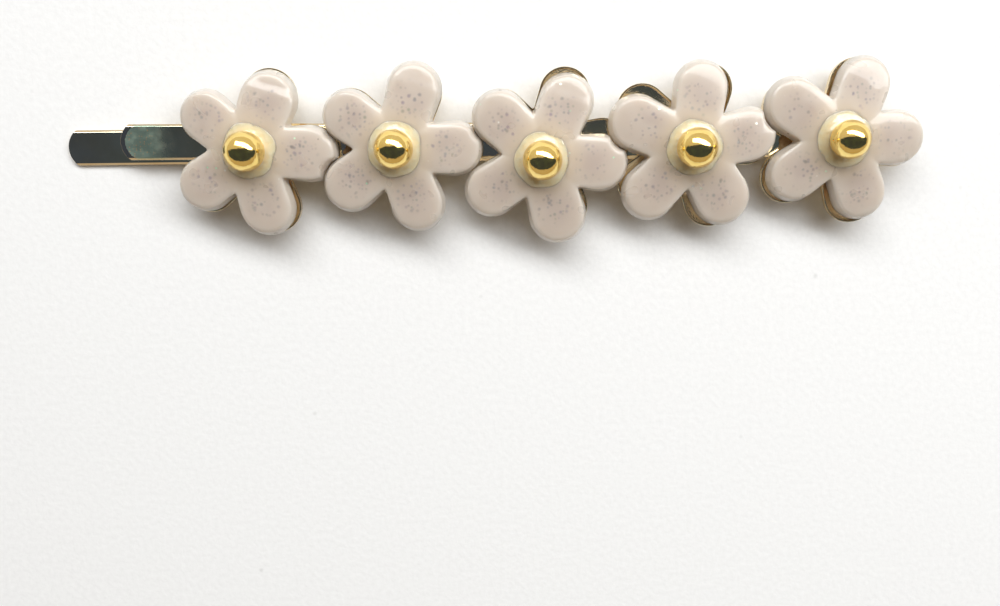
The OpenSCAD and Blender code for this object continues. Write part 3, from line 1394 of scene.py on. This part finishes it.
@dataclass
class Stage:
    """Pale paper, soft light from behind, a dark card overhead for the metal, and the camera."""

    eye: tuple[float, ...] = (-3.96, 0.0, 95.9)
    tilt_deg: float = 10.43
    spin_deg: float = 0.28
    lean_deg: float = -0.22
    lens_mm: float = 31.8
    paper_half: float = 900.0
    card_size: tuple[float, ...] = (1100.0, 172.0)
    card_place: tuple[float, ...] = (0.0, -57.0, 104.0)
    window_size: tuple[float, ...] = (1300.0, 250.0)
    window_place: tuple[float, ...] = (130.0, 350.0, 478.0)
    window_watts: float = 7.7
    window_tone: Colour = (0.95, 0.98, 1.0)
    near_side: Colour = (0.72, 0.58, 0.42)
    far_side: Colour = (1.0, 0.92, 0.82)
    lit_strength: float = 0.2
    mirrored_strength: float = 0.72

    def paper(self) -> None:
        """Lay the pale paper that the clip rests on."""
        bench = Bench("stage_paper")
        fibres = bench.clouds(0.6, 5.0)
        sheet = bench.ramp(fibres, [(0.3, (0.86, 0.85, 0.84)), (0.7, (0.90, 0.89, 0.88))])
        flecks, _ = bench.dots(7.0, 0.05, 0.5)
        bench.set(Base_Color=bench.blend(bench.times(flecks, 0.3), sheet, (0.45, 0.45, 0.43)))
        bench.set(Roughness=0.9)
        bench.bump(fibres, 0.03)
        h = self.paper_half
        drawing = Drawing()
        drawing.face(np.array([(-h, -h, 0), (h, -h, 0), (h, h, 0), (-h, h, 0)], float))
        drawing.piece("stage_paper", bench.material)

    def dark_card(self) -> None:
        """Hang the dark card overhead that darkens the clip's reflections."""
        bench = Bench("stage_dark_card")
        tone = bench.ramp(bench.clouds(40.0, 1.0),
                          [(0.35, (0.045, 0.055, 0.085)), (0.7, (0.06, 0.08, 0.09))])
        bench.set(Base_Color=(0.0, 0.0, 0.0, 1.0), Roughness=1.0, Specular_IOR_Level=0.0)
        bench.set(Emission_Color=tone, Emission_Strength=1.0)
        half_x, half_y = self.card_size[0] / 2, self.card_size[1] / 2
        x, y, z = self.card_place
        drawing = Drawing()
        drawing.face(np.array([(x - half_x, y - half_y, z), (x - half_x, y + half_y, z),
                               (x + half_x, y + half_y, z), (x + half_x, y - half_y, z)]))
        card = drawing.piece("stage_dark_card", bench.material)
        card.visible_camera = False
        card.visible_diffuse = False
        card.visible_shadow = False

    def back_window(self) -> None:
        """Add the soft rectangular light that stands behind the clip and points at it."""
        data = bpy.data.lights.new("back_window", "AREA")
        data.shape = "RECTANGLE"
        data.size, data.size_y = (side * MM for side in self.window_size)
        data.energy = self.window_watts
        data.color = self.window_tone
        lamp = bpy.data.objects.new("back_window", data)
        lamp.location = Vector(self.window_place) * MM
        lamp.rotation_euler = (-lamp.location).to_track_quat("-Z", "Y").to_euler()
        lamp.visible_camera = False
        bpy.context.scene.collection.objects.link(lamp)

    def world(self) -> None:
        """Surround the clip with pale light, dimmer on the near side and stronger in mirrors."""
        world = bpy.data.worlds.new("stage_world")
        world.use_nodes = True
        nodes, links = world.node_tree.nodes, world.node_tree.links
        nodes.clear()
        split = nodes.new("ShaderNodeSeparateXYZ")
        depth = nodes.new("ShaderNodeMapRange")
        depth.inputs["From Min"].default_value = -0.8
        depth.inputs["From Max"].default_value = 0.8
        ramp = nodes.new("ShaderNodeValToRGB")
        for end, tone in zip(ramp.color_ramp.elements, (self.near_side, self.far_side)):
            end.color = (*tone, 1.0)
        strength = nodes.new("ShaderNodeMapRange")
        strength.inputs["To Min"].default_value = self.lit_strength
        strength.inputs["To Max"].default_value = self.mirrored_strength
        back = nodes.new("ShaderNodeBackground")
        place = nodes.new("ShaderNodeTexCoord").outputs["Generated"]
        mirrored = nodes.new("ShaderNodeLightPath").outputs["Is Glossy Ray"]
        out = nodes.new("ShaderNodeOutputWorld")
        links.new(place, split.inputs["Vector"])
        links.new(split.outputs["Y"], depth.inputs["Value"])
        links.new(depth.outputs["Result"], ramp.inputs["Fac"])
        links.new(ramp.outputs["Color"], back.inputs["Color"])
        links.new(mirrored, strength.inputs["Value"])
        links.new(strength.outputs["Result"], back.inputs["Strength"])
        links.new(back.outputs["Background"], out.inputs["Surface"])
        bpy.context.scene.world = world

    def camera(self) -> None:
        """Set the camera close above the clip, leaning towards its near side."""
        data = bpy.data.cameras.new("camera")
        data.lens = self.lens_mm
        data.clip_start, data.clip_end = 0.001, 10.0
        made = bpy.data.objects.new("camera", data)
        turn = (Matrix.Rotation(math.radians(-self.spin_deg), 4, "Z")
                @ Matrix.Rotation(math.radians(-self.lean_deg), 4, "Y")
                @ Matrix.Rotation(math.radians(-self.tilt_deg), 4, "X"))
        made.matrix_world = Matrix.Translation(Vector(self.eye) * MM) @ turn
        bpy.context.scene.collection.objects.link(made)
        bpy.context.scene.camera = made

    def build(self) -> None:
        """Make the whole stage."""
        self.paper()
        self.dark_card()
        self.world()
        self.back_window()
        self.camera()
        bpy.context.scene.view_settings.view_transform = "Standard"


# ---------------------------------------------------------------------------------------------
# The clip
# ---------------------------------------------------------------------------------------------


def main() -> None:
    """Build the stage and every piece of the clip, in order."""
    logging.basicConfig(level=logging.INFO, format="%(name)s: %(message)s")
    Stage().build()
    finishes = {
        Slot.STRIP: PlatedStrip().make(),
        Slot.CUP: CupGold().make(),
        Slot.SOLDER: SolderMetal().make(),
        Slot.ADHESIVE: AmberAdhesive().make(),
        Slot.RESIN: GlitterResin().make(),
        Slot.GLUE: ClearGlue().make(),
        Slot.BEAD: BeadGold().make(),
    }
    strip = Strip()
    strip.build_upper(finishes[Slot.STRIP])
    strip.build_fold(finishes[Slot.STRIP])
    strip.build_lower(finishes[Slot.STRIP])
    for number in range(1, FLOWERS + 1):
        SolderPad(number).build(finishes[Slot.SOLDER])
        FlowerCup(number).build(finishes[Slot.CUP])
        GlueBed(number).build(finishes[Slot.ADHESIVE])
        ResinFlower(number).build(finishes[Slot.RESIN])
        GlueRing(number).build(finishes[Slot.GLUE])
        Bead(number).build(finishes[Slot.BEAD])
    for smear in SMEARS:
        GlueSmear(*smear).build(finishes[Slot.ADHESIVE])


if __name__ == "__main__":
    main()
